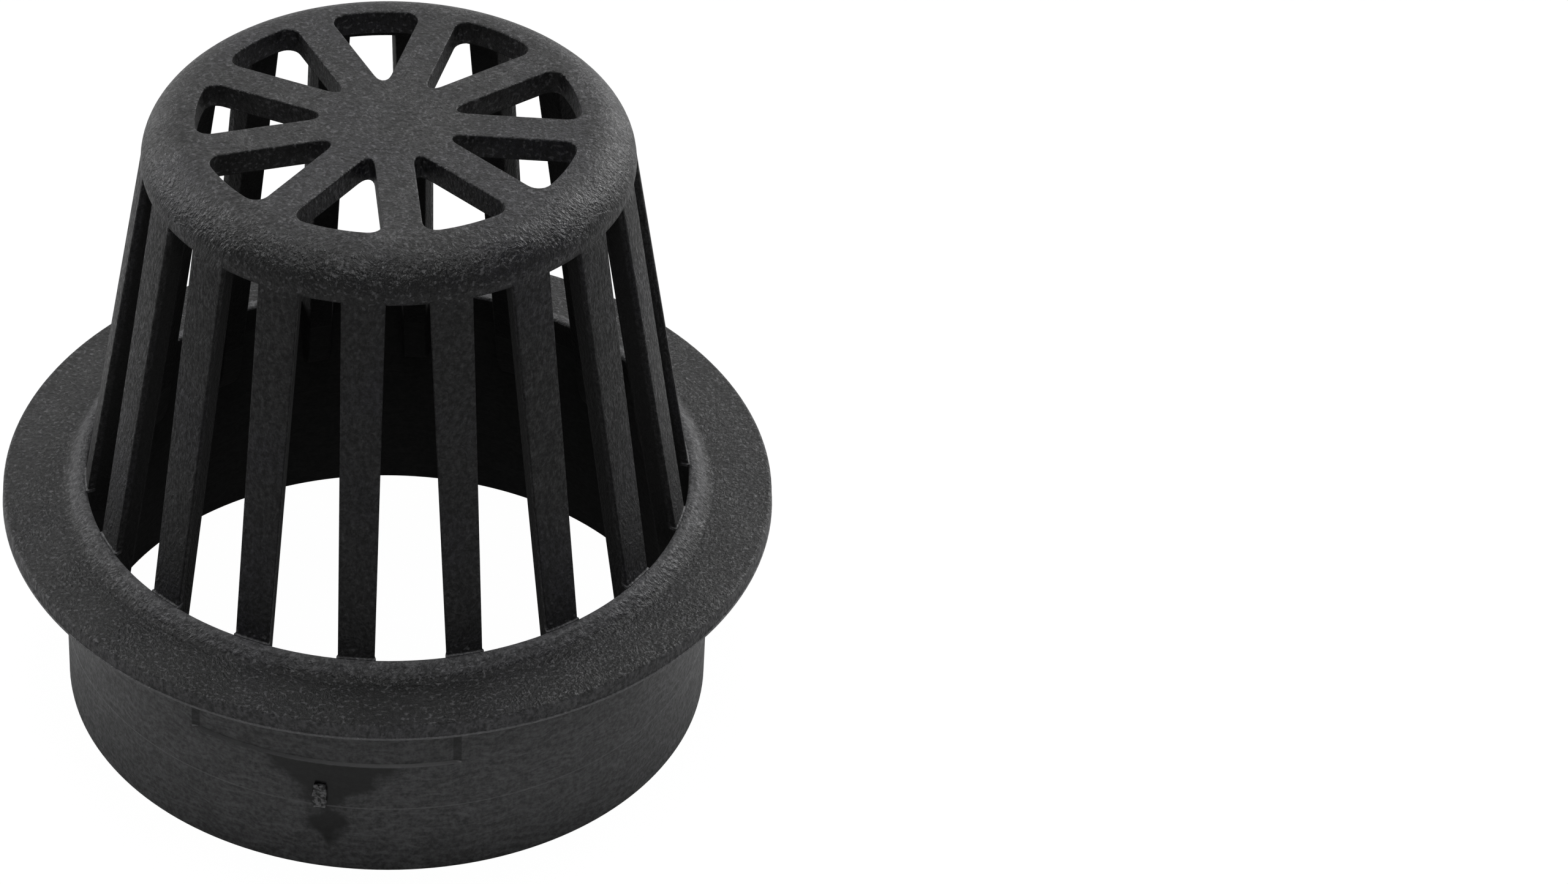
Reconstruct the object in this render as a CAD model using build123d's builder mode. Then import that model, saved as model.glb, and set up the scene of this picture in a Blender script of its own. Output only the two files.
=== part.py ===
"""Atrium grate for a 4 inch drain: a barred cage on a flange, with a spigot that drops into the pipe hub.

One injection moulding. The axis is Z, the spigot's rim stands on Z = 0 and -Y is the front.
All sizes are in millimetres.
"""

import os
from math import radians, sin, tan

from build123d import *

os.makedirs("parts", exist_ok=True)

# Driving dimensions, read from the real object's proportions at the size of a 4 inch pipe hub
overall_height = 110.0
flange_radius = 63.0
flange_thickness = 3.0
spigot_length = 36.3
spigot_radius = 53.1
bore_tip_radius = 49.8
bore_top_radius = 49.2

bar_count = 18
bar_depth = 4.0
bar_width_at_cap = 6.9
bar_width_at_lip = 5.8
bar_side_draft = 5.0

slot_count = 9
spoke_width = 6.1
slot_outer_radius = 30.3
slot_corner_radius = 2.2
slot_tip_radius = 1.4

panel_depth = 0.5
panel_bottom = 22.1
panel_span = 48.7
panel_centre_angle = -15.8
gate_width = 2.4
gate_height = 5.0
gate_centre_height = 15.8
gate_stand = 0.15

# The flange and the lip that stands up round its mouth
flange_top = spigot_length + flange_thickness
lip_top = flange_top + 2.0
lip_crest_radius = 50.7
lip_foot_radius = 52.7

# The cap: a flat plate that rolls over into the cage wall
plate_thickness = 4.0
roll_width = 8.9
roll_height = 6.9
cap_radius = 38.9
cap_rim_bottom = overall_height - roll_height - 0.8
plate_underside = overall_height - plate_thickness

# The cage's outer face is a cone from the cap's widest circle down to the lip
cage_top = overall_height - roll_height
cone_slope = (bore_top_radius - cap_radius) / (cage_top - lip_top)
rib_bottom = 25.2
rib_run_out = 31.5


def cage_outer_radius(height):
    """Radius of the cage's outer face at a height."""
    return cap_radius + cone_slope * (cage_top - height)


def cage_inner_radius(height):
    """Radius of the bars' inner faces at a height."""
    return cage_outer_radius(height) - bar_depth


# Spigot, flange and lip turned as one ring
with BuildPart() as ring:
    with BuildSketch(Plane.XZ):
        with BuildLine():
            Polyline(
                (bore_tip_radius, 0),
                (spigot_radius, 0),
                (spigot_radius, spigot_length),
                (flange_radius, spigot_length),
                (flange_radius, flange_top),
                (lip_foot_radius, flange_top),
                (lip_crest_radius, lip_top),
                (bore_top_radius, lip_top),
                close=True,
            )
        make_face()
        rim_inner, rim_outer = vertices().group_by(Axis.Y)[0].sort_by(Axis.X)
        chamfer(rim_inner, length=0.4)
        chamfer(rim_outer, length=0.7)
        flange_corners = vertices().sort_by(Axis.X)[-2:]
        chamfer(flange_corners, length=0.4)
        lip_corners = vertices().group_by(Axis.Y)[-1]
        chamfer(lip_corners, length=0.5)
        lip_foot = vertices().sort_by_distance((lip_foot_radius, flange_top))[0]
        chamfer(lip_foot, length=0.8)
        flange_root = vertices().sort_by_distance((spigot_radius, spigot_length))[0]
        chamfer(flange_root, length=0.25)
    revolve(axis=Axis.Z)

    # A shallow panel is sunk into the spigot just under the flange, on the gate's side
    panel_start = Plane.XZ.rotated((0, 0, -90 + panel_centre_angle - panel_span / 2))
    with BuildSketch(panel_start):
        with Locations((spigot_radius - panel_depth, panel_bottom)):
            Rectangle(2, spigot_length - panel_bottom, align=(Align.MIN, Align.MIN))
    revolve(axis=Axis.Z, revolution_arc=panel_span, mode=Mode.SUBTRACT)

    # The snapped-off gate stands out of the spigot below the panel
    gate_plane = Plane.XZ.rotated((0, 0, panel_centre_angle)).offset(spigot_radius - 1)
    with BuildSketch(gate_plane):
        with Locations((0, gate_centre_height)):
            SlotOverall(gate_height, gate_width, rotation=90)
    extrude(amount=1 + gate_stand, taper=8)

# One gap, cut square to the cone: narrow at the cap, wide at the lip, and wider inside by the draft
gap_standoff = 1.0
gap_bottom = rib_bottom - 6
gap_top = cage_top + 1
half_pitch = radians(180 / bar_count)
cone_stretch = (1 + cone_slope**2) ** 0.5


def gap_half_width(height):
    """Half the clear width between two bars, at the cone's face."""
    share = (height - lip_top) / (cage_top - lip_top)
    bar_width = bar_width_at_lip + share * (bar_width_at_cap - bar_width_at_lip)
    return cage_outer_radius(height) * tan(half_pitch) - bar_width / 2


with BuildPart() as gap_cutter:
    cone_face = Plane(
        origin=(0, -cage_outer_radius(gap_bottom), gap_bottom),
        x_dir=(1, 0, 0),
        z_dir=(0, -1, cone_slope),
    )
    with BuildSketch(cone_face.offset(gap_standoff)):
        with BuildLine():
            spread = gap_standoff * tan(radians(bar_side_draft))
            bottom_half = gap_half_width(gap_bottom) - spread
            top_half = gap_half_width(gap_top) - spread
            side_height = (gap_top - gap_bottom) * cone_stretch
            Polyline(
                (-bottom_half, 0),
                (bottom_half, 0),
                (top_half, side_height),
                (-top_half, side_height),
                close=True,
            )
        make_face()
    extrude(amount=-(gap_standoff + bar_depth + 3), taper=-bar_side_draft)

# The cage wall is a cone that runs on down inside the ring, where the bars end as ribs
with BuildPart() as bars:
    with BuildSketch(Plane.XZ):
        with BuildLine():
            inner_line = Line(
                (cage_inner_radius(gap_top), gap_top),
                (cage_inner_radius(rib_run_out), rib_run_out),
            )
            run_out = TangentArc(
                inner_line @ 1,
                (cage_outer_radius(rib_bottom) - 0.6, rib_bottom),
                tangent=inner_line % 1,
            )
            Polyline(
                run_out @ 1,
                (cage_outer_radius(rib_bottom), rib_bottom),
                (cage_outer_radius(gap_top), gap_top),
                inner_line @ 0,
            )
        make_face()
    revolve(axis=Axis.Z)
    with PolarLocations(0, bar_count):
        add(gap_cutter.part, mode=Mode.SUBTRACT)

# The cap, turned with its rolled rim, then cut with wedge slots that leave spokes of even width
with BuildPart() as cap:
    with BuildSketch(Plane.XZ):
        with BuildLine():
            flat_top = Line((0, overall_height), (cap_radius - roll_width, overall_height))
            roll = EllipticalCenterArc(
                (cap_radius - roll_width, overall_height - roll_height),
                roll_width,
                roll_height,
                start_angle=0,
                arc_size=90,
            )
            Polyline(
                (cap_radius, cage_top),
                (cap_radius - 0.1, cap_rim_bottom),
                (cage_inner_radius(cap_rim_bottom), cap_rim_bottom),
                (cage_inner_radius(plate_underside), plate_underside),
                (0, plate_underside),
                (0, overall_height),
            )
        make_face()
        rim_corner = vertices().sort_by_distance((cap_radius - 0.1, cap_rim_bottom))[0]
        chamfer(rim_corner, length=0.35)
        hollow_corner = vertices().sort_by_distance((cage_inner_radius(plate_underside), plate_underside))[0]
        chamfer(hollow_corner, length=1.2)
    revolve(axis=Axis.Z)

    spoke_pitch = 360 / slot_count
    half_wedge = radians(spoke_pitch / 2)
    apex_radius = spoke_width / 2 / sin(half_wedge)
    with BuildSketch(Plane.XY.offset(overall_height)):
        with PolarLocations(0, slot_count, start_angle=-90 + spoke_pitch / 2):
            with BuildSketch(mode=Mode.PRIVATE) as wedge:
                with BuildLine():
                    reach = slot_outer_radius + 10
                    Polyline(
                        (apex_radius, 0),
                        (apex_radius + reach, -reach * tan(half_wedge)),
                        (apex_radius + reach, reach * tan(half_wedge)),
                        close=True,
                    )
                make_face()
                Circle(slot_outer_radius, mode=Mode.INTERSECT)
                wedge_tip = wedge.vertices().sort_by(Axis.X)[0]
                fillet(wedge_tip, radius=slot_tip_radius)
                wedge_corners = wedge.vertices().group_by(Axis.X)[-1]
                fillet(wedge_corners, radius=slot_corner_radius)
            add(wedge.sketch)
    extrude(amount=-plate_thickness - 2, taper=1, mode=Mode.SUBTRACT)

# One moulding: the three bodies are the same plastic
with BuildPart() as atrium_grate:
    add(ring.part)
    add(bars.part)
    add(cap.part)

atrium_grate.part.label = "atrium_grate"
export_step(atrium_grate.part, "parts/atrium_grate.step")
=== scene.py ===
# %% [markdown]
# # An atrium grate, moulded in black plastic
# A raised drain grate keeps leaves out of a pipe. The real one is a single injection moulding: a flat
# slotted cap with a rolled rim, eighteen cage bars, a raised lip, a wide flange and a spigot that drops
# into the pipe. Its maker could have turned it from a lathe profile and cut the gaps out of it. Here the
# turned forms are spun, each bar is drawn out as a strip of its own, and one union makes a single skin of
# them, because that leaves every edge where it can be rounded. Sizes lie a few hundredths of a millimetre
# inside the measured box.

from math import asin, atan2, cos, degrees, pi, radians, sin, sqrt, tan, tau

import bmesh
import bpy
from mathutils import Euler, Matrix, Quaternion, Vector, noise


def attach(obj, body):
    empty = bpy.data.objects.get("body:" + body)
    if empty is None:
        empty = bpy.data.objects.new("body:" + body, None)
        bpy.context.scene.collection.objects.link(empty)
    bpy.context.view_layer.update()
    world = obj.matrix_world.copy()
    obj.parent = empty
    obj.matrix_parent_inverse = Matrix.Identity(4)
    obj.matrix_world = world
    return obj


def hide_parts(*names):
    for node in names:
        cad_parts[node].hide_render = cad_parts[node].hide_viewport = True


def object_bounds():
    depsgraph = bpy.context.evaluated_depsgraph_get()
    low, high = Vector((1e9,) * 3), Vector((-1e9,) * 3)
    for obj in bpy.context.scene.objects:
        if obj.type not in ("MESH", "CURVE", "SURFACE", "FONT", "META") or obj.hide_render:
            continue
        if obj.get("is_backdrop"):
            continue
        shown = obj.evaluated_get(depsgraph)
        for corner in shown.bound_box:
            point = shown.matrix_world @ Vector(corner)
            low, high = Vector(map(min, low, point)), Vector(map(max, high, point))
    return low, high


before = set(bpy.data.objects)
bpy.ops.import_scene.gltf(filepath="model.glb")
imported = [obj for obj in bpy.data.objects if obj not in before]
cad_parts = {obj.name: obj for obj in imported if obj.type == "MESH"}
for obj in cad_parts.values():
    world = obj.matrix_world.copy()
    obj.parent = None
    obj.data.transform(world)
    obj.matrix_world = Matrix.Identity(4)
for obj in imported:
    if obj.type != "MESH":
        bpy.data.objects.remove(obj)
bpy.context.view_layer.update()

# %% [markdown]
# ## Working in millimetres
# Plastic mouldings are drawn in millimetres and Blender's unit is the metre. So each mesh is shaped in
# millimetres round the grate's own axis, with the spigot's rim at height 0, and is shrunk once at the end.
# The object itself stays at the origin, unscaled, so that patterns and the export stay put.

# %% Sizes of the moulding
MM = 0.001
OVERALL_HEIGHT = 109.99
FLANGE_RADIUS = 62.97
FLANGE_BOTTOM = 36.3
FLANGE_TOP = 39.3
LIP_TOP = 41.3
SPIGOT_RADIUS = 53.1
BORE_TIP_RADIUS = 49.8
BORE_TOP_RADIUS = 49.2
LIP_FOOT_RADIUS = 52.7
LIP_CREST_RADIUS = 50.7
CAP_RADIUS = 38.9
CAGE_TOP = 103.1
RIM_BOTTOM = 102.3
PLATE_UNDERSIDE = 106.0
BAR_DEPTH = 4.0
CONE_SLOPE = (BORE_TOP_RADIUS - CAP_RADIUS) / (CAGE_TOP - LIP_TOP)


def cage_radius(height):
    """Radius of the cage's outer cone at a height."""
    return CAP_RADIUS + CONE_SLOPE * (CAGE_TOP - height)


print("cage radius at the lip and the cap", cage_radius(LIP_TOP), cage_radius(CAGE_TOP))

# %% [markdown]
# ## Rounded corners on a wire
# A turned form starts as its half section. Drawing each rounded corner by hand is slow, so the section is
# drawn with sharp corners and the bevel operator rounds one vertex at a time. A corner's cut-back is the
# radius divided by the tangent of half its angle, which makes the new edge a true arc.


# %% A section drawn as a wire
def draw_section(bm, corners, close):
    """Adds a wire of (radius, height, rounding, steps) corners in the XZ plane and rounds them."""
    dots = [bm.verts.new((x, 0, z)) for x, z, _, _ in corners]
    ends = dots[1:] + (dots[:1] if close else [])
    for a, b in zip(dots, ends):
        bm.edges.new((a, b))
    for i, (dot, (_, _, rounding, steps)) in enumerate(zip(dots, corners)):
        if not rounding:
            continue
        before = Vector(corners[i - 1][:2]) - Vector(corners[i][:2])
        after = Vector(corners[(i + 1) % len(corners)][:2]) - Vector(corners[i][:2])
        cut_back = rounding / tan(before.angle(after) / 2)
        bmesh.ops.bevel(
            bm,
            geom=[dot],
            offset=cut_back,
            offset_type="OFFSET",
            segments=steps,
            profile=0.5,
            affect="VERTICES",
            material=-1,
        )


# %% Turning, angles and making an object
def turn(bm, geom, steps):
    """Spins a section once round the grate's axis."""
    bmesh.ops.spin(
        bm,
        geom=geom,
        cent=(0, 0, 0),
        axis=(0, 0, 1),
        dvec=(0, 0, 0),
        angle=tau,
        steps=steps,
        use_merge=True,
        use_duplicate=False,
    )


def azimuth(point):
    """Degrees round from the front, positive towards +X."""
    return degrees(atan2(point.x, -point.y))


def push(vertex, distance):
    """Moves a vertex straight out from the axis."""
    flat = Vector((vertex.co.x, vertex.co.y, 0)).normalized()
    vertex.co += flat * distance


def to_object(bm, name):
    """Makes an object of a finished bmesh."""
    bmesh.ops.recalc_face_normals(bm, faces=bm.faces)
    mesh = bpy.data.meshes.new(name)
    bm.to_mesh(mesh)
    bm.free()
    made = bpy.data.objects.new(name, mesh)
    bpy.context.scene.collection.objects.link(made)
    return made


# %% [markdown]
# ## The ring: spigot, flange and lip
# On the real part these are one turned band. The flange's outer wall carries the mould's closing line as a
# hair of plastic along its lower edge, and the spigot has a second such line where two mould halves met.
# Both are true ridges here, since light catches them in the photograph.

# %% Spin the ring
TURN_STEPS = 180
LINE_HEIGHT = 13.5
LINE_STAND = 0.1
LINE_HALF_WIDTH = 0.16
PANEL_BOTTOM = 22.1
PANEL_TOP = 35.2

ring = bmesh.new()
draw_section(
    ring,
    [
        (BORE_TIP_RADIUS, 0, 0.5, 3),
        (SPIGOT_RADIUS, 0, 0.9, 5),
        (SPIGOT_RADIUS, LINE_HEIGHT - LINE_HALF_WIDTH, 0, 0),
        (SPIGOT_RADIUS + LINE_STAND, LINE_HEIGHT, 0, 0),
        (SPIGOT_RADIUS, LINE_HEIGHT + LINE_HALF_WIDTH, 0, 0),
        (SPIGOT_RADIUS, PANEL_BOTTOM, 0, 0),
        (SPIGOT_RADIUS, PANEL_TOP, 0, 0),
        (SPIGOT_RADIUS, FLANGE_BOTTOM, 0.8, 4),
        (FLANGE_RADIUS, FLANGE_BOTTOM, 0.1, 2),
        (FLANGE_RADIUS, FLANGE_BOTTOM + 0.3, 0.1, 2),
        (FLANGE_RADIUS - 0.14, FLANGE_BOTTOM + 0.42, 0, 0),
        (FLANGE_RADIUS - 0.16, FLANGE_TOP, 0.55, 5),
        (LIP_FOOT_RADIUS, FLANGE_TOP, 1.6, 5),
        (LIP_CREST_RADIUS, LIP_TOP, 0.9, 5),
        (BORE_TOP_RADIUS, LIP_TOP, 0.6, 4),
    ],
    close=True,
)
turn(ring, ring.verts[:] + ring.edges[:], TURN_STEPS)
bmesh.ops.recalc_face_normals(ring, faces=ring.faces)
print("ring faces", len(ring.faces))

# %% [markdown]
# ## The shallow panel in the spigot
# Under the flange a stretch of the spigot is set back by half a millimetre, with a sloped foot and sloped
# ends. The faces are already there from the spin. So the nearest columns of them are first turned to the
# panel's ends, then the faces are drawn in as one region, and its border is softened.

# %% Turn the nearest columns to the panel's ends
PANEL_START = -40.15
PANEL_END = 8.55
PANEL_DEPTH = 0.5
PANEL_FOOT_SLOPE = 0.45
PANEL_END_SLOPE = 1.2
SAME_COLUMN = 0.2


def turn_vertex(vertex, angle):
    """Turns a vertex round the grate's axis by an angle in degrees."""
    vertex.co = Matrix.Rotation(radians(angle), 3, "Z") @ vertex.co


for vertex in ring.verts:
    for column, wanted in ((-40.0, PANEL_START), (8.0, PANEL_END)):
        if abs(azimuth(vertex.co) - column) < SAME_COLUMN:
            turn_vertex(vertex, wanted - column)

# %% Draw the panel's faces in
panel = []
for face in ring.faces:
    middle = face.calc_center_median()
    on_wall = abs(Vector(middle[:2]).length - SPIGOT_RADIUS) < 0.06
    if on_wall and PANEL_BOTTOM < middle.z < PANEL_TOP:
        if PANEL_START < azimuth(middle) < PANEL_END:
            panel.append(face)
grown = bmesh.ops.extrude_face_region(ring, geom=panel)["geom"]
bmesh.ops.delete(ring, geom=panel, context="FACES")
bmesh.ops.recalc_face_normals(ring, faces=ring.faces)
sunk = [g for g in grown if isinstance(g, bmesh.types.BMVert)]
for vertex in sunk:
    push(vertex, -PANEL_DEPTH)
    if vertex.co.z < PANEL_BOTTOM + 1:
        vertex.co.z += PANEL_FOOT_SLOPE
    for end, inward in ((PANEL_START, PANEL_END_SLOPE), (PANEL_END, -PANEL_END_SLOPE)):
        if abs(azimuth(vertex.co) - end) < SAME_COLUMN:
            turn_vertex(vertex, inward)
            break

# %% Soften the panel's border
step_edges = []
for edge in ring.edges:
    if len(edge.link_faces) == 2 and PANEL_BOTTOM - 0.1 < edge.verts[0].co.z < PANEL_TOP + 0.1:
        if edge.calc_face_angle() > radians(30):
            step_edges.append(edge)
bmesh.ops.bevel(
    ring,
    geom=step_edges,
    offset=0.1,
    offset_type="OFFSET",
    segments=2,
    profile=0.5,
    affect="EDGES",
    material=-1,
)
print("panel faces", len(panel), "softened edges", len(step_edges))
ring_object = to_object(ring, "ring_stock")

# %% [markdown]
# ## The bars
# Each bar is a strip with a slightly wedge-shaped section: its sides draw in towards the inside so that the
# mould could open. It widens from the lip to the cap, flares a little where it stands on the lip, and runs
# on below as a rib inside the ring that ends in a slanted run-out. Its back is sunk into the ring's wall and
# its top into the cap, so that the union holds them. One section is drawn, its four corners are rounded,
# and it is drawn up through a list of levels.


# %% The bar's shape at a height
BAR_COUNT = 18
BAR_WIDTH_AT_CAP = 7.0
BAR_WIDTH_AT_LIP = 6.0
SIDE_DRAFT = radians(14.8)
FOOT_ROUNDING = 0.25
FLARE_DEPTH = 0.3
RUN_OUT_START = 31.5
RUN_OUT_TURN = radians(51.55)
RUN_OUT_RADIUS = 8.87
RIB_ROOT_LOW, RIB_ROOT_HIGH = 50.6, 50.2
BAR_END = 104.2
lean = atan2(CONE_SLOPE, 1)


def bar_levels():
    """(height, outer radius, inner radius, flare) from the rib's tip to inside the cap."""
    levels = []
    for part in (0.92, 0.75, 0.6, 0.45, 0.3, 0.15, 0):
        swung = lean + RUN_OUT_TURN * part
        height = RUN_OUT_START - RUN_OUT_RADIUS * (sin(swung) - sin(lean))
        inner = cage_radius(RUN_OUT_START) - BAR_DEPTH + RUN_OUT_RADIUS * (cos(lean) - cos(swung))
        levels.append((height, max(inner + 0.3, RIB_ROOT_LOW), inner, FOOT_ROUNDING))
    for height in (34.0, 37.0, 40.3):
        inner = cage_radius(height) - BAR_DEPTH
        levels.append((height, min(cage_radius(height), RIB_ROOT_HIGH), inner, FOOT_ROUNDING))
    for part in (0, 0.12, 0.3, 0.55, 1.0):
        height = LIP_TOP + part * FOOT_ROUNDING
        left = FOOT_ROUNDING - part * FOOT_ROUNDING
        flare = FOOT_ROUNDING - sqrt(max(FOOT_ROUNDING**2 - left**2, 0))
        levels.append((height, cage_radius(height), cage_radius(height) - BAR_DEPTH, flare))
    for height in (44, 48, 54, 60, 66, 72, 78, 84, 90, 96, 100, RIM_BOTTOM, CAGE_TOP):
        levels.append((height, cage_radius(height), cage_radius(height) - BAR_DEPTH, 0))
    levels.append((BAR_END, CAP_RADIUS - 0.8, cage_radius(BAR_END) - BAR_DEPTH + 0.6, 0))
    return levels


def half_width(height, depth):
    """Half the bar's width at a height, from its outer face (depth 0) to its inner face (depth 1)."""
    share = (height - LIP_TOP) / (CAGE_TOP - LIP_TOP)
    outer = (BAR_WIDTH_AT_LIP + share * (BAR_WIDTH_AT_CAP - BAR_WIDTH_AT_LIP)) / 2
    return outer - depth * BAR_DEPTH * tan(SIDE_DRAFT)


# %% Draw one bar's section
CORNER_ROUNDING = 0.28
bars = bmesh.new()
outline = [(a / 2, 0) for a in range(-2, 3)] + [(1, FLARE_DEPTH)]
outline += [(a / 2, 1) for a in range(2, -3, -1)] + [(-1, FLARE_DEPTH)]
dots = [bars.verts.new((a, q, 0)) for a, q in outline]
for a, b in zip(dots, dots[1:] + dots[:1]):
    bars.edges.new((a, b))
for dot in (dots[0], dots[4], dots[6], dots[10]):
    bmesh.ops.bevel(
        bars,
        geom=[dot],
        offset=CORNER_ROUNDING / 3,
        offset_type="OFFSET",
        segments=3,
        profile=0.5,
        affect="VERTICES",
        material=-1,
    )
bmesh.ops.contextual_create(bars, geom=bars.edges[:])
across_layer = bars.verts.layers.float.new("across")
depth_layer = bars.verts.layers.float.new("depth")
for vertex in bars.verts:
    vertex[across_layer], vertex[depth_layer] = vertex.co.x, vertex.co.y
print("corners of a bar's section", len(bars.verts))


# %% Draw the section up through the levels
def set_level(verts, level):
    """Puts a section's vertices at one level of the bar, facing the front."""
    height, outer, inner, flare = level
    for vertex in verts:
        depth = vertex[depth_layer]
        spread = flare * max(0, 1 - depth / FLARE_DEPTH)
        across = vertex[across_layer] * (half_width(height, depth) + spread)
        radius = outer + spread - depth * (outer - inner)
        vertex.co = (across, -sqrt(radius**2 - across**2), height)


levels = bar_levels()
top = bars.faces[:][0]
set_level(top.verts, levels[0])
for step, level in enumerate(levels[1:]):
    grown = bmesh.ops.extrude_face_region(bars, geom=[top])["geom"]
    if step:
        bmesh.ops.delete(bars, geom=[top], context="FACES_ONLY")
    top = [g for g in grown if isinstance(g, bmesh.types.BMFace)][0]
    set_level(top.verts, level)
print("levels of a bar", len(levels))

# %% Set eighteen bars round the cage
BAR_PITCH = tau / BAR_COUNT
bmesh.ops.recalc_face_normals(bars, faces=bars.faces)
bmesh.ops.rotate(bars, cent=(0, 0, 0), matrix=Matrix.Rotation(BAR_PITCH / 2, 3, "Z"), verts=bars.verts)
one_bar = bars.verts[:] + bars.edges[:] + bars.faces[:]
for k in range(1, BAR_COUNT):
    copied = bmesh.ops.duplicate(bars, geom=one_bar)["geom"]
    turned = [g for g in copied if isinstance(g, bmesh.types.BMVert)]
    bmesh.ops.rotate(bars, cent=(0, 0, 0), matrix=Matrix.Rotation(BAR_PITCH * k, 3, "Z"), verts=turned)
print("bar faces", len(bars.faces))
bars_object = to_object(bars, "bar_stock")

# %% [markdown]
# ## The cap
# The cap is a flat plate that rolls over into the cage, with nine wedge slots that leave spokes of even
# width. The roll is spun from a quarter ellipse. The two flat faces are then filled round the slots'
# outlines by triangle_fill, which understands holes, so no radial edge crosses a slot and nothing pinches
# where the slots' edges are rounded.

# %% Spin the rolled rim
ROLL_START = 30.5
FLAT_EDGE = 30.95
HOLLOW_EDGE = 32.8
ROLL_STEPS = 16

cap = bmesh.new()
roll = [(FLAT_EDGE, OVERALL_HEIGHT, 0, 0)]
first_turn = asin((FLAT_EDGE + 0.3 - ROLL_START) / (CAP_RADIUS - ROLL_START))
for k in range(ROLL_STEPS + 1):
    swung = first_turn + (pi / 2 - first_turn) * k / ROLL_STEPS
    radius = ROLL_START + (CAP_RADIUS - ROLL_START) * sin(swung)
    height = CAGE_TOP + (OVERALL_HEIGHT - CAGE_TOP) * cos(swung)
    roll.append((radius, height, 0, 0))
rim = [
    (CAP_RADIUS - 0.1, RIM_BOTTOM, 0.4, 4),
    (cage_radius(RIM_BOTTOM) - BAR_DEPTH - 0.05, RIM_BOTTOM, 0.25, 3),
    (cage_radius(PLATE_UNDERSIDE) - BAR_DEPTH - 0.05, PLATE_UNDERSIDE, 1.4, 5),
    (HOLLOW_EDGE, PLATE_UNDERSIDE, 0, 0),
]
draw_section(cap, roll + rim, close=False)
turn(cap, cap.verts[:] + cap.edges[:], TURN_STEPS)
print("rolled rim faces", len(cap.faces))

# %% [markdown]
# ## The nine slots
# A slot's outline is a wedge whose sides run parallel to the spokes beside it. It is drawn with a sharp tip
# and corners, rounded by the same wire bevel, and copied round. Its wall is drawn down from the top outline
# with a degree of draft, as a mould needs.

# %% Draw one slot's outline
SLOT_COUNT = 9
SPOKE_WIDTH = 6.1
SLOT_REACH = 30.3
SLOT_CORNER = 2.2
SLOT_TIP = 1.4
SLOT_DRAFT = radians(1)
SLOT_HEART_RADIUS = 21.5
SLOT_HALF_LENGTH = 8
SLOT_PITCH = tau / SLOT_COUNT

apex = SPOKE_WIDTH / 2 / sin(SLOT_PITCH / 2)
along = -apex * cos(SLOT_PITCH / 2) + sqrt(SLOT_REACH**2 - (SPOKE_WIDTH / 2) ** 2)
outer_corner = Vector((apex + along * cos(SLOT_PITCH / 2), along * sin(SLOT_PITCH / 2)))
half_arc = atan2(outer_corner.y, outer_corner.x)
arc_inset = 1.25 * SLOT_CORNER / SLOT_REACH

slots = bmesh.new()
dots = [slots.verts.new((apex, 0, OVERALL_HEIGHT))]
dots.append(slots.verts.new((outer_corner.x, -outer_corner.y, OVERALL_HEIGHT)))
for k in range(9):
    swung = (half_arc - arc_inset) * (k / 4 - 1)
    dots.append(slots.verts.new((SLOT_REACH * cos(swung), SLOT_REACH * sin(swung), OVERALL_HEIGHT)))
dots.append(slots.verts.new((outer_corner.x, outer_corner.y, OVERALL_HEIGHT)))
for a, b in zip(dots, dots[1:] + dots[:1]):
    slots.edges.new((a, b))
for dot, rounding, steps in ((dots[0], SLOT_TIP, 7), (dots[1], SLOT_CORNER, 7), (dots[-1], SLOT_CORNER, 7)):
    rays = [edge.other_vert(dot).co - dot.co for edge in dot.link_edges]
    bmesh.ops.bevel(
        slots,
        geom=[dot],
        offset=rounding / tan(rays[0].angle(rays[1]) / 2),
        offset_type="OFFSET",
        segments=steps,
        profile=0.5,
        affect="VERTICES",
        material=-1,
    )

# %% Draw its wall down and copy it round
grown = bmesh.ops.extrude_edge_only(slots, edges=slots.edges[:])["geom"]
lower = [g for g in grown if isinstance(g, bmesh.types.BMVert)]
slot_heart = Vector((SLOT_HEART_RADIUS, 0, 0))
shrink = 1 - (OVERALL_HEIGHT - PLATE_UNDERSIDE) * tan(SLOT_DRAFT) / SLOT_HALF_LENGTH
for vertex in lower:
    vertex.co = slot_heart + (vertex.co - slot_heart) * shrink
    vertex.co.z = PLATE_UNDERSIDE
bmesh.ops.rotate(
    slots, cent=(0, 0, 0), matrix=Matrix.Rotation(SLOT_PITCH / 2 - pi / 2, 3, "Z"), verts=slots.verts
)
one_slot = slots.verts[:] + slots.edges[:] + slots.faces[:]
for k in range(1, SLOT_COUNT):
    copied = bmesh.ops.duplicate(slots, geom=one_slot)["geom"]
    turned = [g for g in copied if isinstance(g, bmesh.types.BMVert)]
    bmesh.ops.rotate(slots, cent=(0, 0, 0), matrix=Matrix.Rotation(SLOT_PITCH * k, 3, "Z"), verts=turned)
slot_mesh = bpy.data.meshes.new("slot_stock")
slots.to_mesh(slot_mesh)
slots.free()
cap.from_mesh(slot_mesh)
bpy.data.meshes.remove(slot_mesh)

# %% Fill the plate's two faces round the slots
for height, normal in ((OVERALL_HEIGHT, (0, 0, 1)), (PLATE_UNDERSIDE, (0, 0, -1))):
    border = [
        e
        for e in cap.edges
        if len(e.link_faces) == 1 and all(abs(v.co.z - height) < 1e-4 for v in e.verts)
    ]
    bmesh.ops.triangle_fill(cap, use_beauty=True, use_dissolve=False, edges=border, normal=normal)
bmesh.ops.recalc_face_normals(cap, faces=cap.faces)

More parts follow.
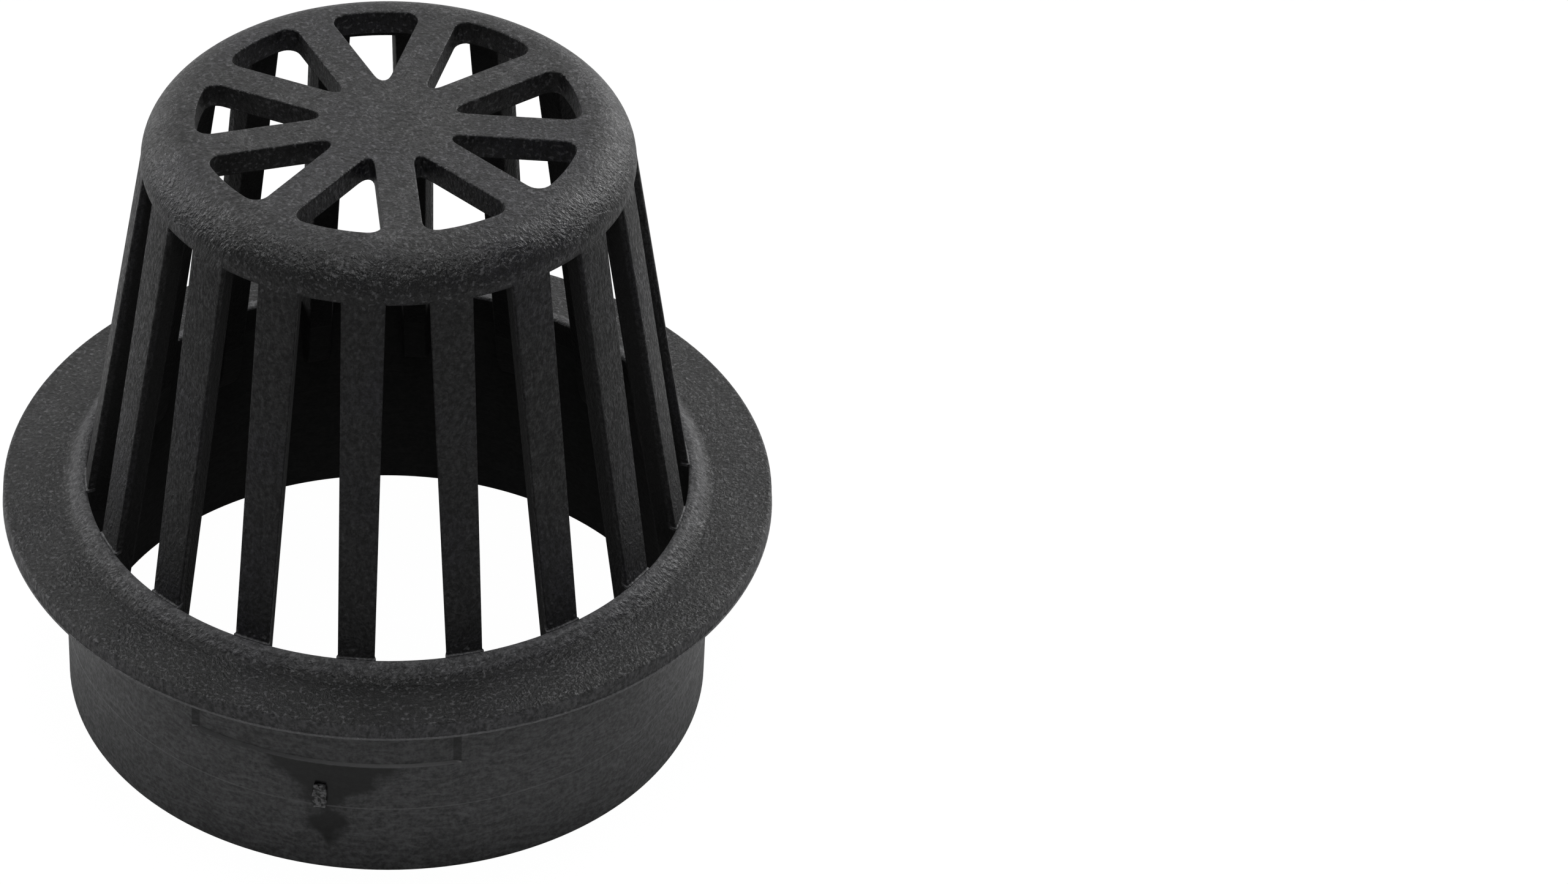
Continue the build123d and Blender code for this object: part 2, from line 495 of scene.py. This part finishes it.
# %% Round the slots' upper edges
SLOT_EDGE_ROUNDING = 0.28
slot_edges = []
for edge in cap.edges:
    high = all(abs(v.co.z - OVERALL_HEIGHT) < 1e-4 for v in edge.verts)
    if high and len(edge.link_faces) == 2 and edge.calc_face_angle() > radians(60):
        slot_edges.append(edge)
bmesh.ops.bevel(
    cap,
    geom=slot_edges,
    offset=SLOT_EDGE_ROUNDING,
    offset_type="OFFSET",
    segments=3,
    profile=0.5,
    affect="EDGES",
    material=-1,
)
print("slot edges rounded", len(slot_edges))
print("open edges left", sum(len(e.link_faces) != 2 for e in cap.edges))
cap_object = to_object(cap, "cap_stock")

# %% [markdown]
# ## The snapped gate
# Plastic entered the mould through a narrow gate low on the spigot. It was snapped off and left a small
# upright scar. A block, cut finer, roughened with noise and drawn in towards its ends, is enough.

# %% Shape the gate's scar
GATE_ANGLE = radians(-15.8)
GATE_SIZE = (2.3, 2.0, 4.6)
GATE_MIDDLE = 15.7
GATE_SET_IN = 0.45
GATE_ROUGHNESS = (0.3, 0.45, 0.3)
gate = bmesh.new()
bmesh.ops.create_cube(gate, size=1)
bmesh.ops.scale(gate, vec=GATE_SIZE, verts=gate.verts)
bmesh.ops.subdivide_edges(gate, edges=gate.edges[:], cuts=3, use_grid_fill=True)
for vertex in gate.verts:
    if vertex.co.y < 0:
        rough = noise.noise(vertex.co * 1.7)
        vertex.co += Vector(GATE_ROUGHNESS) * rough
    vertex.co.x *= 1 - 0.25 * (abs(vertex.co.z) / 2.4) ** 2
bmesh.ops.translate(gate, vec=(0, -(SPIGOT_RADIUS - GATE_SET_IN), GATE_MIDDLE), verts=gate.verts)
bmesh.ops.rotate(gate, cent=(0, 0, 0), matrix=Matrix.Rotation(GATE_ANGLE, 3, "Z"), verts=gate.verts)
gate_object = to_object(gate, "gate_stock")

# %% [markdown]
# ## One moulding
# The four stocks overlap where they meet. A union with the exact solver leaves a single closed skin, with
# nothing hidden inside, which is what a moulding is. The stocks are then thrown away.

# %% Join the stocks
for stock in (cap_object, bars_object, gate_object):
    union = ring_object.modifiers.new("join_" + stock.name, "BOOLEAN")
    union.operation = "UNION"
    union.solver = "EXACT"
    union.object = stock
depsgraph = bpy.context.evaluated_depsgraph_get()
joined = bpy.data.meshes.new_from_object(ring_object.evaluated_get(depsgraph))
joined.name = "grate_moulding"
for stock in (ring_object, cap_object, bars_object, gate_object):
    bpy.data.objects.remove(stock)
grate = bpy.data.objects.new("grate_moulding", joined)
bpy.context.scene.collection.objects.link(grate)

# %% Clean, shrink to metres and shade
shell = bmesh.new()
shell.from_mesh(joined)
bmesh.ops.remove_doubles(shell, verts=shell.verts, dist=0.004)
bmesh.ops.dissolve_degenerate(shell, edges=shell.edges, dist=0.002)
bmesh.ops.triangulate(shell, faces=[f for f in shell.faces if len(f.verts) > 4])
bmesh.ops.scale(shell, vec=(MM, MM, MM), verts=shell.verts)
print("open edges", sum(len(e.link_faces) != 2 for e in shell.edges))
print("volume in cubic millimetres", shell.calc_volume() / MM**3, "faces", len(shell.faces))
shell.to_mesh(joined)
shell.free()
joined.shade_smooth()
joined.set_sharp_from_angle(angle=radians(32))
even = grate.modifiers.new("even_shading", "WEIGHTED_NORMAL")
even.keep_sharp = True
even.weight = 60

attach(grate, "root")
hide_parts("atrium_grate")

# %% [markdown]
# ## The plastic's finish
# Black polyolefin is very dark, and nearly all that is seen of it is light mirrored off a fine mould
# texture. Two effects make it up, each a node group: a grain of soft mottling and pale specks, and streaks
# left where the melt flowed. Both read Object coordinates, because the object sits at the origin with its
# place in its mesh.


# %% Helpers for node trees
def new_tree(name, inputs, outputs):
    """A shader node group with (name, socket type, start value) inputs and (name, socket type) outputs."""
    tree = bpy.data.node_groups.new(name, "ShaderNodeTree")
    for label, kind, value in inputs:
        socket = tree.interface.new_socket(label, in_out="INPUT", socket_type=kind)
        if value is not None:
            socket.default_value = value
    for label, kind in outputs:
        tree.interface.new_socket(label, in_out="OUTPUT", socket_type=kind)
    return tree, tree.nodes.new("NodeGroupInput").outputs, tree.nodes.new("NodeGroupOutput").inputs


def fill(tree, made, sockets):
    """Gives each socket a link where the value is another node's socket, or else the value."""
    for key, value in sockets.items():
        if isinstance(value, bpy.types.NodeSocket):
            tree.links.new(value, made.inputs[key])
        else:
            made.inputs[key].default_value = value


def add(tree, kind, sockets, **settings):
    """Adds a node with its settings and its sockets' values."""
    made = tree.nodes.new("ShaderNode" + kind)
    for name, value in settings.items():
        setattr(made, name, value)
    fill(tree, made, sockets)
    return made


def add_group(tree, group, sockets):
    """Places a node group in a tree."""
    made = tree.nodes.new("ShaderNodeGroup")
    made.node_tree = group
    fill(tree, made, sockets)
    return made


# %% Helpers for masks
def ramp_between(tree, value, start, end, low=0.0, high=1.0):
    """A soft step of a value from low at start to high at end."""
    sockets = {"Value": value, "From Min": start, "From Max": end, "To Min": low, "To Max": high}
    return add(tree, "MapRange", sockets, interpolation_type="SMOOTHSTEP").outputs["Result"]


def combine(tree, operation, first, second):
    """One sum, product or other operation on two values."""
    return add(tree, "Math", {0: first, 1: second}, operation=operation).outputs[0]


def times(tree, first, *others):
    """The product of two or more values."""
    for other in others:
        first = combine(tree, "MULTIPLY", first, other)
    return first


def without(tree, mask):
    """The rest of a mask: 1 where it is 0."""
    return combine(tree, "SUBTRACT", 1.0, mask)


def how_far(tree, value, middle):
    """The distance of a value from a middle."""
    off = combine(tree, "SUBTRACT", value, middle)
    return add(tree, "Math", {0: off}, operation="ABSOLUTE").outputs[0]


def band(tree, value, rise, fall):
    """A mask that rises over one stretch of a value and falls over a later one."""
    return times(tree, ramp_between(tree, value, *rise), ramp_between(tree, value, *fall))


# %% Helpers for mixing
def blend_values(tree, share, first, second):
    """Mixes two values."""
    return add(tree, "Mix", {0: share, 2: first, 3: second}).outputs[0]


def blend_colours(tree, share, first, second):
    """Mixes two colours."""
    return add(tree, "Mix", {0: share, 6: first, 7: second}, data_type="RGBA").outputs[2]


# %% Grain: mottling, specks and a fine height
grain_tree, given, result = new_tree(
    "mould_grain",
    [
        ("Place", "NodeSocketVector", None),
        ("Size", "NodeSocketFloat", 0.5),
        ("Specks", "NodeSocketFloat", 0.5),
    ],
    [("Tone", "NodeSocketFloat"), ("Specks", "NodeSocketFloat"), ("Height", "NodeSocketFloat")],
)
fineness = combine(grain_tree, "DIVIDE", 1.0, given["Size"])


def grain_noise(finer, detail, roughness):
    """Noise over the place, finer than the grain's size by a factor."""
    scale = times(grain_tree, fineness, finer)
    sockets = {"Vector": given["Place"], "Scale": scale, "Detail": detail, "Roughness": roughness}
    return add(grain_tree, "TexNoise", sockets).outputs[0]


tone = ramp_between(grain_tree, grain_noise(1.0, 4.0, 0.65), 0.34, 0.68)
dots = times(grain_tree, ramp_between(grain_tree, grain_noise(1.3, 1.0, 0.4), 0.57, 0.72), given["Specks"])
grain_tree.links.new(tone, result["Tone"])
grain_tree.links.new(dots, result["Specks"])
grain_tree.links.new(grain_noise(1.2, 3.0, 0.6), result["Height"])
print("nodes of the grain", len(grain_tree.nodes))

# %% Streaks: the melt's flow, along whatever way the place is stretched
streak_tree, given, result = new_tree(
    "flow_streaks",
    [("Place", "NodeSocketVector", None), ("Stretch", "NodeSocketVector", (1.0, 1.0, 1.0))],
    [("Streak", "NodeSocketFloat")],
)
wander = add(streak_tree, "TexNoise", {"Vector": given["Place"], "Scale": 0.12, "Detail": 2.0})
drift = {0: wander.outputs["Color"], 1: (6.0, 6.0, 6.0)}
drift = add(streak_tree, "VectorMath", drift, operation="MULTIPLY").outputs[0]
moved = add(streak_tree, "VectorMath", {0: given["Place"], 1: drift}, operation="ADD").outputs[0]
stretched = {0: moved, 1: given["Stretch"]}
stretched = add(streak_tree, "VectorMath", stretched, operation="MULTIPLY").outputs[0]
lines = add(streak_tree, "TexNoise", {"Vector": stretched, "Scale": 1.0, "Detail": 3.0, "Roughness": 0.6})
streak_tree.links.new(ramp_between(streak_tree, lines.outputs[0], 0.4, 0.7), result["Streak"])
print("nodes of the streaks", len(streak_tree.nodes))

# %% [markdown]
# ## Zones of the turned form
# The finish isn't the same all over: the lip and the flange's rim get a painted highlight, the roll is
# glossier, the flange's flat top gets painted shade, and the inside is painted dark as shade and is dull. The
# form is turned, so height and distance from the axis say where a point lies. A third group gives those
# places as masks from 0 to 1.

# %% Zones by height
zone_tree, given, result = new_tree(
    "grate_zones",
    [("Place", "NodeSocketVector", None)],
    [
        (label, "NodeSocketFloat")
        for label in ("Spigot", "Bars", "Inside", "Radius", "Roll", "Lip", "Rim", "Ledge")
    ],
)
level = add(zone_tree, "SeparateXYZ", {"Vector": given["Place"]}).outputs["Z"]
flat = add(zone_tree, "VectorMath", {0: given["Place"], 1: (1, 1, 0)}, operation="MULTIPLY").outputs[0]
radius = add(zone_tree, "VectorMath", {0: flat}, operation="LENGTH").outputs["Value"]
zone_tree.links.new(radius, result["Radius"])
zone_tree.links.new(ramp_between(zone_tree, level, 36.6, 36.2), result["Spigot"])
for label, rise, fall in (
    ("Bars", (41.5, 44.0), (103.0, 100.0)),
    ("Roll", (102.0, 103.5), (109.9, 109.2)),
    ("Lip", (39.6, 40.4), (41.6, 41.4)),
):
    zone_tree.links.new(band(zone_tree, level, rise, fall), result[label])

# %% The flange's rim and the flat ledge inside it
on_flange = combine(zone_tree, "GREATER_THAN", level, FLANGE_BOTTOM - 0.1)
rim = times(zone_tree, on_flange, ramp_between(zone_tree, radius, 62.55, 62.8))
ledge = band(zone_tree, level, (38.9, 39.2), (39.9, 39.5))
ledge = times(zone_tree, ledge, without(zone_tree, rim))
zone_tree.links.new(rim, result["Rim"])
zone_tree.links.new(ledge, result["Ledge"])

# %% The inside, behind a cone that runs just under the cage's outer face
CAGE_SKIN = 1.2
RING_SETBACK = 2.6
cone = {"Value": level, "From Min": LIP_TOP, "From Max": CAGE_TOP}
cone |= {"To Min": BORE_TOP_RADIUS - CAGE_SKIN, "To Max": CAP_RADIUS - CAGE_SKIN}
cone = add(zone_tree, "MapRange", cone).outputs["Result"]
in_ring = combine(zone_tree, "LESS_THAN", level, LIP_TOP - 0.5)
cone = combine(zone_tree, "ADD", cone, times(zone_tree, in_ring, RING_SETBACK))
behind = ramp_between(zone_tree, combine(zone_tree, "SUBTRACT", cone, radius), -0.3, 0.3)
under_cap = combine(zone_tree, "LESS_THAN", level, PLATE_UNDERSIDE + 0.1)
zone_tree.links.new(times(zone_tree, behind, under_cap), result["Inside"])
print("nodes of the zones", len(zone_tree.nodes))

# %% [markdown]
# ## Putting the finish together
# The mould's sparked texture on the cap, bars and flange scatters light widely. The spigot came off a
# smoother steel, so it is streaked sideways, with one glossy dark patch where the melt came in at the gate,
# and its colour is painted lighter, as painted light from the pale floor. Tiny pale specks are dust and
# chalked pigment. First the groups are placed, and their values are made ready for colour, roughness and
# relief.

# %% Place the groups
plastic = bpy.data.materials.new("black_polyolefin")
plastic.use_nodes = True
tree = plastic.node_tree
shader = tree.nodes["Principled BSDF"]
here = add(tree, "TexCoord", {}).outputs["Object"]
place = add(tree, "VectorMath", {0: here, 1: (1 / MM, 1 / MM, 1 / MM)}, operation="MULTIPLY").outputs[0]
parts = add(tree, "SeparateXYZ", {"Vector": place})
level = parts.outputs["Z"]
zones = add_group(tree, zone_tree, {"Place": place}).outputs
outside = without(tree, zones["Inside"])
grain = add_group(tree, grain_tree, {"Place": place, "Size": 0.8, "Specks": 1.0}).outputs
along_bars = add_group(tree, streak_tree, {"Place": place, "Stretch": (1.9, 1.9, 0.45)}).outputs[0]
round_spigot = add_group(tree, streak_tree, {"Place": place, "Stretch": (0.22, 0.22, 1.5)}).outputs[0]
streak = blend_values(tree, zones["Spigot"], along_bars, round_spigot)
mixed = combine(tree, "ADD", times(tree, grain["Tone"], 0.6), times(tree, streak, 0.4))

# %% [markdown]
# ## The flow patch
# Where the melt shot in, the skin froze smooth and glossy: a patch that fans out from the gate up to the
# panel, and a small one below it. It is a wedge in angle round the axis, with its edge made ragged by noise.

# %% A ragged fan round the gate
FLOW_ANGLE = -14.5
FAN_TIP, FAN_SPREAD = 11.0, 1.1
LOW_FAN_MIDDLE, LOW_FAN_REACH = 10.0, 4.5
FLOW_RAGGED = 9.0
front = times(tree, parts.outputs["Y"], -1.0)
turned = add(tree, "Math", {0: parts.outputs["X"], 1: front}, operation="ARCTAN2").outputs[0]
turned = times(tree, turned, 180 / pi)
fan = times(tree, combine(tree, "SUBTRACT", level, FAN_TIP), FAN_SPREAD)
low_fan = combine(tree, "SUBTRACT", LOW_FAN_REACH, how_far(tree, level, LOW_FAN_MIDDLE))
fan = combine(tree, "MAXIMUM", fan, low_fan)
ragged = add(tree, "TexNoise", {"Vector": place, "Scale": 0.25, "Detail": 3.0}).outputs[0]
ragged = times(tree, combine(tree, "SUBTRACT", ragged, 0.5), FLOW_RAGGED)
reach = combine(tree, "ADD", fan, ragged)
reach = combine(tree, "SUBTRACT", reach, how_far(tree, turned, FLOW_ANGLE))
below_panel = ramp_between(tree, level, PANEL_BOTTOM + 0.3, PANEL_BOTTOM - 0.2)
flow = times(tree, ramp_between(tree, reach, -2.0, 2.0), below_panel)

# %% [markdown]
# ## Colour
# Layers go on one by one, each a blend with a mask: the textured plastic and the spigot's smooth one, painted
# lighter, the painted shade inside and on the flange's top, the painted highlights on the lip and rim, the
# specks, and last the fine marks of the mould, with painted highlights along them and painted shade at the
# panel's ends. Layers in this order let dust specks lie over the painted highlights.

# %% The plastic's colours, with the spigot's pair painted lighter as painted light
DARK = (0.0018, 0.0019, 0.0020, 1)
LIGHT = (0.0250, 0.0252, 0.0260, 1)
COOL = (0.0235, 0.0230, 0.0290, 1)
SPIGOT_LIT_DARK = (0.0420, 0.0428, 0.0432, 1)
SPIGOT_LIT_PALE = (0.1550, 0.1562, 0.1610, 1)
patches = add(tree, "TexNoise", {"Vector": place, "Scale": 0.05, "Detail": 2.0}).outputs[0]
light = blend_colours(tree, ramp_between(tree, patches, 0.45, 0.65), LIGHT, COOL)
textured = blend_colours(tree, mixed, DARK, light)
smooth = blend_colours(tree, mixed, SPIGOT_LIT_DARK, SPIGOT_LIT_PALE)
# Painted light: the spigot's colours are set lighter, standing in for the pale floor's light mirrored in it.
colour = blend_colours(tree, zones["Spigot"], textured, smooth)
# Painted shade: the inside of the cage and the flange's flat top are darkened towards DARK.
for mask, share in ((zones["Inside"], 0.9), (zones["Ledge"], 0.6)):
    colour = blend_colours(tree, times(tree, mask, share), colour, DARK)

# %% Painted highlights on the lip and rim, the flow patch and specks
PALE_SPECK_AND_HIGHLIGHT = (0.1400, 0.1400, 0.1460, 1)
SPECK_SHARE, SPECK_SHARE_ON_BARS = 0.5, 0.14
# Painted highlight: the lip's crest and the flange's rim are painted pale.
lip_and_rim_highlight = times(tree, combine(tree, "MAXIMUM", zones["Lip"], zones["Rim"]), outside)
lip_and_rim_highlight = times(tree, lip_and_rim_highlight, combine(tree, "ADD", 0.15, times(tree, mixed, 0.5)))
colour = blend_colours(tree, lip_and_rim_highlight, colour, PALE_SPECK_AND_HIGHLIGHT)
colour = blend_colours(tree, times(tree, flow, 0.9), colour, DARK)
share = ramp_between(tree, zones["Bars"], 0.0, 1.0, SPECK_SHARE, SPECK_SHARE_ON_BARS)
bare = combine(tree, "MAXIMUM", flow, zones["Inside"])
dusty = times(tree, grain["Specks"], share, without(tree, bare))
colour = blend_colours(tree, dusty, colour, PALE_SPECK_AND_HIGHLIGHT)

# %% Painted highlights along the mould's closing lines, and the gate's torn face, whitened by stress
SCAR_AND_HIGHLIGHT = (0.3200, 0.3200, 0.3260, 1)
# Painted highlight: pale lines are painted along the closing-line ridges.
off_line = how_far(tree, level, LINE_HEIGHT)
hair_highlight = times(tree, ramp_between(tree, off_line, 0.2, 0.05), zones["Spigot"], outside)
rim_hair_highlight = times(tree, zones["Rim"], ramp_between(tree, level, FLANGE_BOTTOM + 0.45, FLANGE_BOTTOM + 0.25))
hair_highlight = combine(tree, "MAXIMUM", hair_highlight, rim_hair_highlight)
colour = blend_colours(tree, times(tree, hair_highlight, 0.4), colour, SCAR_AND_HIGHLIGHT)
scar = ramp_between(tree, zones["Radius"], SPIGOT_RADIUS + 0.15, SPIGOT_RADIUS + 0.3)
scar = times(tree, scar, ramp_between(tree, level, 20.0, 19.0))
scar = times(tree, scar, ramp_between(tree, grain["Height"], 0.4, 0.6))
colour = blend_colours(tree, times(tree, scar, 0.7), colour, SCAR_AND_HIGHLIGHT)

# %% The panel's slopes: painted shade at both ends, a painted highlight along the foot
past_start = combine(tree, "SUBTRACT", turned, PANEL_START)
from_end = combine(tree, "MINIMUM", past_start, combine(tree, "SUBTRACT", PANEL_END, turned))
above_foot = combine(tree, "SUBTRACT", level, PANEL_BOTTOM)
between_ends = combine(tree, "GREATER_THAN", from_end, 0.0)
in_panel = times(tree, between_ends, combine(tree, "GREATER_THAN", above_foot, 0.0), outside)
ends = times(tree, in_panel, ramp_between(tree, from_end, 1.5, 1.2), zones["Spigot"])
foot_highlight = times(tree, in_panel, ramp_between(tree, above_foot, 0.5, 0.35))
# Painted shade at the panel's two ends, and a painted highlight along its foot.
colour = blend_colours(tree, times(tree, ends, 0.6), colour, DARK)
colour = blend_colours(tree, times(tree, foot_highlight, 0.8), colour, SCAR_AND_HIGHLIGHT)
tree.links.new(colour, shader.inputs["Base Color"])

# %% [markdown]
# ## Roughness and relief
# Where the grain is pale it is also smoother, so it glints. The relief is the same grain as a bump, weaker on
# the spigot and gone in the flow patch. Its height is about a tenth of a millimetre, as on a sparked mould.

# %% Roughness
RELIEF_HEIGHT = 0.26
rough = ramp_between(tree, mixed, 0.0, 1.0, 0.66, 0.31)
for mask, pale, glint in ((zones["Roll"], 0.5, 0.2), (zones["Spigot"], 0.44, 0.3)):
    rough = blend_values(tree, mask, rough, ramp_between(tree, mixed, 0.0, 1.0, pale, glint))
rough = blend_values(tree, flow, rough, 0.3)
rough = blend_values(tree, zones["Inside"], rough, 0.8)
tree.links.new(rough, shader.inputs["Roughness"])

# %% Relief
height = combine(tree, "ADD", grain["Height"], times(tree, streak, 0.35))
height = times(tree, height, ramp_between(tree, zones["Spigot"], 0.0, 1.0, 1.0, 0.4), without(tree, flow))
relief = add(tree, "Bump", {"Strength": 1.0, "Distance": RELIEF_HEIGHT * MM, "Height": height})
tree.links.new(relief.outputs["Normal"], shader.inputs["Normal"])
joined.materials.clear()
joined.materials.append(plastic)
print("nodes of the plastic", len(tree.nodes))

# %% [markdown]
# ## Floor, light and camera
# The grate stands on a pale floor in soft light. The floor lights the spigot from below with its own pale
# grey, while the camera sees it nearly white. The lamps are softboxes: one overhead and one in front for the
# roll and the lip, a wide one behind that is mirrored in the cap and the flange, and one on each side.

# %% The floor
WHITE_SHARE = 0.94
WHITE_GLOW = 1.05
bpy.ops.mesh.primitive_plane_add(size=8)
floor = bpy.context.object
floor.name = "floor"
floor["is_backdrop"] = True
pale = bpy.data.materials.new("pale_floor")
pale.use_nodes = True
nodes, links = pale.node_tree.nodes, pale.node_tree.links
paint = nodes["Principled BSDF"]
paint.inputs["Base Color"].default_value = (0.55, 0.55, 0.55, 1)
paint.inputs["Roughness"].default_value = 0.9
paint.inputs["Specular IOR Level"].default_value = 0.0
glow = nodes.new("ShaderNodeEmission")
glow.inputs["Strength"].default_value = WHITE_GLOW
seen = nodes.new("ShaderNodeLightPath")
white = nodes.new("ShaderNodeMath")
white.operation = "MULTIPLY"
white.inputs[1].default_value = WHITE_SHARE
blend = nodes.new("ShaderNodeMixShader")
links.new(seen.outputs["Is Camera Ray"], white.inputs[0])
links.new(white.outputs[0], blend.inputs[0])
links.new(paint.outputs[0], blend.inputs[1])
links.new(glow.outputs[0], blend.inputs[2])
links.new(blend.outputs[0], nodes["Material Output"].inputs["Surface"])
floor.data.materials.append(pale)

# %% The camera
PHOTO_WIDTH = 2560
PHOTO_HEIGHT = 1444
FOCAL_PIXELS = 9372.1
AXIS_X, AXIS_Y = 632.8, 720.5
CAMERA_AZIMUTH = radians(-4.4)
CAMERA_DISTANCE = 738.8
CAMERA_HEIGHT = 619.1
CAMERA_PITCH = radians(37.78)
CAMERA_ROLL = 0.004

lens = bpy.data.cameras.new("camera")
lens.sensor_width = 36
lens.lens = FOCAL_PIXELS / PHOTO_WIDTH * lens.sensor_width
lens.shift_x = (PHOTO_WIDTH / 2 - AXIS_X) / PHOTO_WIDTH
lens.shift_y = (AXIS_Y - PHOTO_HEIGHT / 2) / PHOTO_WIDTH
lens.clip_end = 50
camera = bpy.data.objects.new("camera", lens)
camera.location = Vector(
    (
        CAMERA_DISTANCE * sin(CAMERA_AZIMUTH),
        -CAMERA_DISTANCE * cos(CAMERA_AZIMUTH),
        CAMERA_HEIGHT,
    )
) * MM
aim = Euler((pi / 2 - CAMERA_PITCH, 0, CAMERA_AZIMUTH)).to_quaternion()
camera.rotation_euler = (aim @ Quaternion((0, 0, 1), CAMERA_ROLL)).to_euler()
bpy.context.scene.collection.objects.link(camera)
bpy.context.scene.camera = camera
print("lens in millimetres", round(lens.lens, 1))

# %% The light
world = bpy.data.worlds.new("studio")
bpy.context.scene.world = world
world.use_nodes = True
world.node_tree.nodes["Background"].inputs["Strength"].default_value = 0.05


def softbox(name, place, size, power):
    """A square area lamp that looks at the grate."""
    lamp = bpy.data.lights.new(name, "AREA")
    lamp.size = size
    lamp.energy = power
    made = bpy.data.objects.new(name, lamp)
    made.location = place
    made.rotation_euler = (LOOK_AT - Vector(place)).to_track_quat("-Z", "Y").to_euler()
    bpy.context.scene.collection.objects.link(made)


LOOK_AT = Vector((0, 0, 0.05))
softbox("top_light", (0, -0.12, 1.3), 0.5, 6.0)
softbox("front_light", (0, -0.8, 1.15), 0.5, 2.6)
softbox("back_light", (0, 1.7, 1.15), 1.4, 9.5)
softbox("left_light", (-1.0, 0.9, 0.5), 0.8, 9)
softbox("right_light", (1.0, 0.9, 0.5), 0.8, 12)

bpy.context.scene.view_settings.view_transform = "Standard"

# %% Measure and finish
low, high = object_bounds()
print("visual box", [round(x, 4) for x in (*low, *high)])
